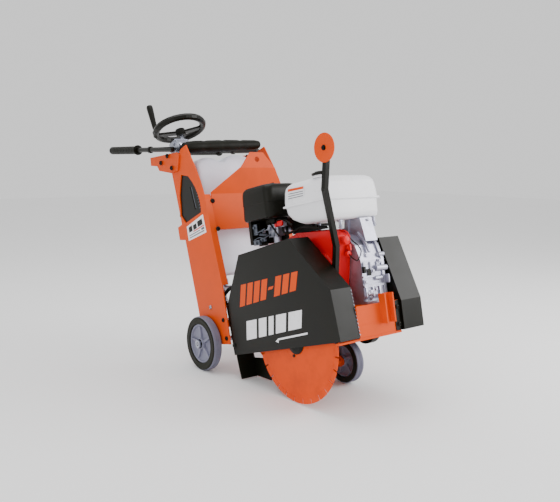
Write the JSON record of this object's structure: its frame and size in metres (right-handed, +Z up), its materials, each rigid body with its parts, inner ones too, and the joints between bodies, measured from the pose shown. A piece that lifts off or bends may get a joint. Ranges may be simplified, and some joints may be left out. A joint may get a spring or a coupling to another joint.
{
  "type": "walk-behind concrete saw",
  "caption": "Engine-driven walk-behind saw for cutting concrete and asphalt: guarded blade, belt drive, water tank, depth handwheel and folding cut pointer.",
  "frame": {"origin": "on the floor under the middle of the saw's bounding box", "axes": "+X is forward, the way the saw cuts, +Y is to the operator's left, the belt side, and +Z is up"},
  "size_m": [1.5124, 0.4835, 1.0072],
  "materials": {
    "orange": "gloss",
    "black_paint": "satin",
    "black_plastic": "satin",
    "rubber": "matte",
    "grey_rubber": "matte",
    "grey_hub": "satin",
    "steel": "satin",
    "dark_steel": "satin",
    "aluminium": "satin",
    "white_plastic": "gloss",
    "red": "gloss"
  },
  "bodies": {
    "chassis": {"chassis_frame": "orange", "side_plate_right": "orange", "side_plate_left": "orange", "depth_quadrant": "black_paint", "cross_panel": "orange", "cross_bar": "rubber", "bar_bracket_right": "orange", "bar_bracket_left": "orange", "screw_block": "steel", "water_tank": "white_plastic", "water_valve": "steel", "water_hose": "rubber", "blade_guard": "black_paint", "mud_flap": "rubber", "belt_guard": "black_paint", "crankcase": "aluminium", "cylinder": "aluminium", "fan_shroud": "red", "recoil_cover": "red", "fuel_tank": "white_plastic", "air_cleaner": "black_plastic", "carburettor": "aluminium", "muffler": "dark_steel", "drive_belt": "rubber", "bearing_right": "dark_steel", "bearing_left": "dark_steel", "rear_axle": "steel"},
    "right_handlebar": {"handlebar_right": "black_paint", "grip_right": "rubber"},
    "left_handlebar": {"handlebar_left": "black_paint", "grip_left": "rubber"},
    "depth_handwheel": {"handwheel": "black_paint", "depth_screw": "steel"},
    "knob": {"crank_knob": "black_plastic"},
    "nut": {"screw_nut": "steel"},
    "front_frame": {"swing_arm": "orange"},
    "rear_wheel_right": {"rear_hub_right": "grey_hub", "rear_tyre_right": "grey_rubber"},
    "rear_wheel_left": {"rear_hub_left": "grey_hub", "rear_tyre_left": "grey_rubber"},
    "front_wheel_right": {"front_hub_right": "grey_hub", "front_tyre_right": "grey_rubber"},
    "front_wheel_left": {"front_hub_left": "grey_hub", "front_tyre_left": "grey_rubber"},
    "arbor": {"arbor_shaft": "dark_steel", "driven_pulley": "dark_steel", "saw_blade": "orange", "outer_flange": "dark_steel", "arbor_nut": "dark_steel"},
    "engine_drive": {"drive_pulley": "dark_steel"},
    "fuel_filler_cap": {"fuel_cap": "black_plastic"},
    "water_filler_cap": {"water_cap": "black_plastic"},
    "water_lever": {"valve_lever": "red"},
    "starter_grip": {"starter_handle": "red"},
    "throttle": {"throttle_lever": "steel"},
    "fuel_valve": {"fuel_lever": "red"},
    "switch": {"engine_switch": "red"},
    "oil_filler_plug": {"oil_plug": "aluminium"},
    "pointer": {"guide_arm": "black_paint"},
    "pointer_disc": {"guide_disc": "orange"}
  },
  "joints": [
    {"name": "handlebar_right_slide", "type": "slide", "parent": "chassis", "child": "right_handlebar", "axis": [-1, 0, 0], "range_m": [-0.12, 0.06]},
    {"name": "handlebar_left_slide", "type": "slide", "parent": "chassis", "child": "left_handlebar", "axis": [-1, 0, 0], "range_m": [-0.12, 0.06]},
    {"name": "handwheel_turn", "type": "hinge", "parent": "chassis", "child": "depth_handwheel", "pos_m": [-0.24593, -0.133, 0.88021], "axis": [-0.4566, 0, 0.8897], "range_deg": [0, 3600]},
    {"name": "crank_knob_spin", "type": "hinge", "parent": "depth_handwheel", "child": "knob", "pos_m": [-0.34363, -0.20786, 0.94246], "axis": [-0.4566, 0, 0.8897], "continuous": true},
    {"name": "screw_nut_travel", "type": "slide", "parent": "chassis", "child": "nut", "axis": [0.4566, 0, -0.8897], "range_m": [0, 0.085]},
    {"name": "front_frame_lift", "type": "hinge", "parent": "chassis", "child": "front_frame", "pos_m": [0.2907, 0.004, 0.0727], "axis": [0, -1, 0], "range_deg": [0, 36]},
    {"name": "rear_wheel_right_spin", "type": "hinge", "parent": "chassis", "child": "rear_wheel_right", "pos_m": [0.02796, -0.206, 0.10148], "axis": [0, 1, 0], "continuous": true},
    {"name": "rear_wheel_left_spin", "type": "hinge", "parent": "chassis", "child": "rear_wheel_left", "pos_m": [0.02796, 0.214, 0.10148], "axis": [0, 1, 0], "continuous": true},
    {"name": "front_wheel_right_spin", "type": "hinge", "parent": "front_frame", "child": "front_wheel_right", "pos_m": [0.45567, -0.063, 0.07895], "axis": [0, 1, 0], "continuous": true},
    {"name": "front_wheel_left_spin", "type": "hinge", "parent": "front_frame", "child": "front_wheel_left", "pos_m": [0.45567, 0.119, 0.07895], "axis": [0, 1, 0], "continuous": true},
    {"name": "engine_turn", "type": "hinge", "parent": "chassis", "child": "engine_drive", "pos_m": [0.54767, 0.124, 0.41978], "axis": [0, 1, 0], "continuous": true},
    {"name": "arbor_turn", "type": "hinge", "parent": "chassis", "child": "arbor", "pos_m": [0.51429, -0.157, 0.20406], "axis": [0, 1, 0], "continuous": true},
    {"name": "fuel_cap_turn", "type": "hinge", "parent": "chassis", "child": "fuel_filler_cap", "pos_m": [0.53478, -0.081, 0.73945], "axis": [-0.1959, 0, 0.9806], "range_deg": [0, 90]},
    {"name": "water_cap_turn", "type": "hinge", "parent": "chassis", "child": "water_filler_cap", "pos_m": [-0.27892, 0.064, 0.67782], "axis": [-0.9806, 0, -0.1959], "range_deg": [0, 360]},
    {"name": "water_lever_turn", "type": "hinge", "parent": "chassis", "child": "water_lever", "pos_m": [-0.0012, -0.104, 0.31888], "axis": [-0.9806, 0, -0.1959], "range_deg": [0, 90]},
    {"name": "starter_pull", "type": "slide", "parent": "chassis", "child": "starter_grip", "axis": [0.9806, 0, 0.1959], "range_m": [0, 0.35]},
    {"name": "throttle_turn", "type": "hinge", "parent": "chassis", "child": "throttle", "pos_m": [0.28548, -0.076, 0.54789], "axis": [0, 1, 0], "range_deg": [-20, 35]},
    {"name": "fuel_valve_turn", "type": "hinge", "parent": "chassis", "child": "fuel_valve", "pos_m": [0.3502, -0.091, 0.57102], "axis": [0, 1, 0], "range_deg": [-60, 0]},
    {"name": "engine_switch_turn", "type": "hinge", "parent": "chassis", "child": "switch", "pos_m": [0.61691, -0.03, 0.51214], "axis": [0.9806, 0, 0.1959], "range_deg": [0, 60]},
    {"name": "oil_plug_turn", "type": "hinge", "parent": "chassis", "child": "oil_filler_plug", "pos_m": [0.672, 0.0795, 0.40996], "axis": [0.9806, 0, 0.1959], "range_deg": [0, 360]},
    {"name": "pointer_fold", "type": "hinge", "parent": "chassis", "child": "pointer", "pos_m": [0.60747, -0.0805, 0.34505], "axis": [0, 1, 0], "range_deg": [0, 80]},
    {"name": "pointer_disc_spin", "type": "hinge", "parent": "pointer", "child": "pointer_disc", "pos_m": [0.64187, -0.161, 0.82102], "axis": [0, 1, 0], "continuous": true}
  ],
  "couplings": [
    {"joint": "screw_nut_travel", "follows": "handwheel_turn", "m_per_rad": 0.0013528},
    {"joint": "front_frame_lift", "follows": "handwheel_turn", "ratio": 0.01},
    {"joint": "arbor_turn", "follows": "engine_turn", "ratio": 0.84}
  ]
}
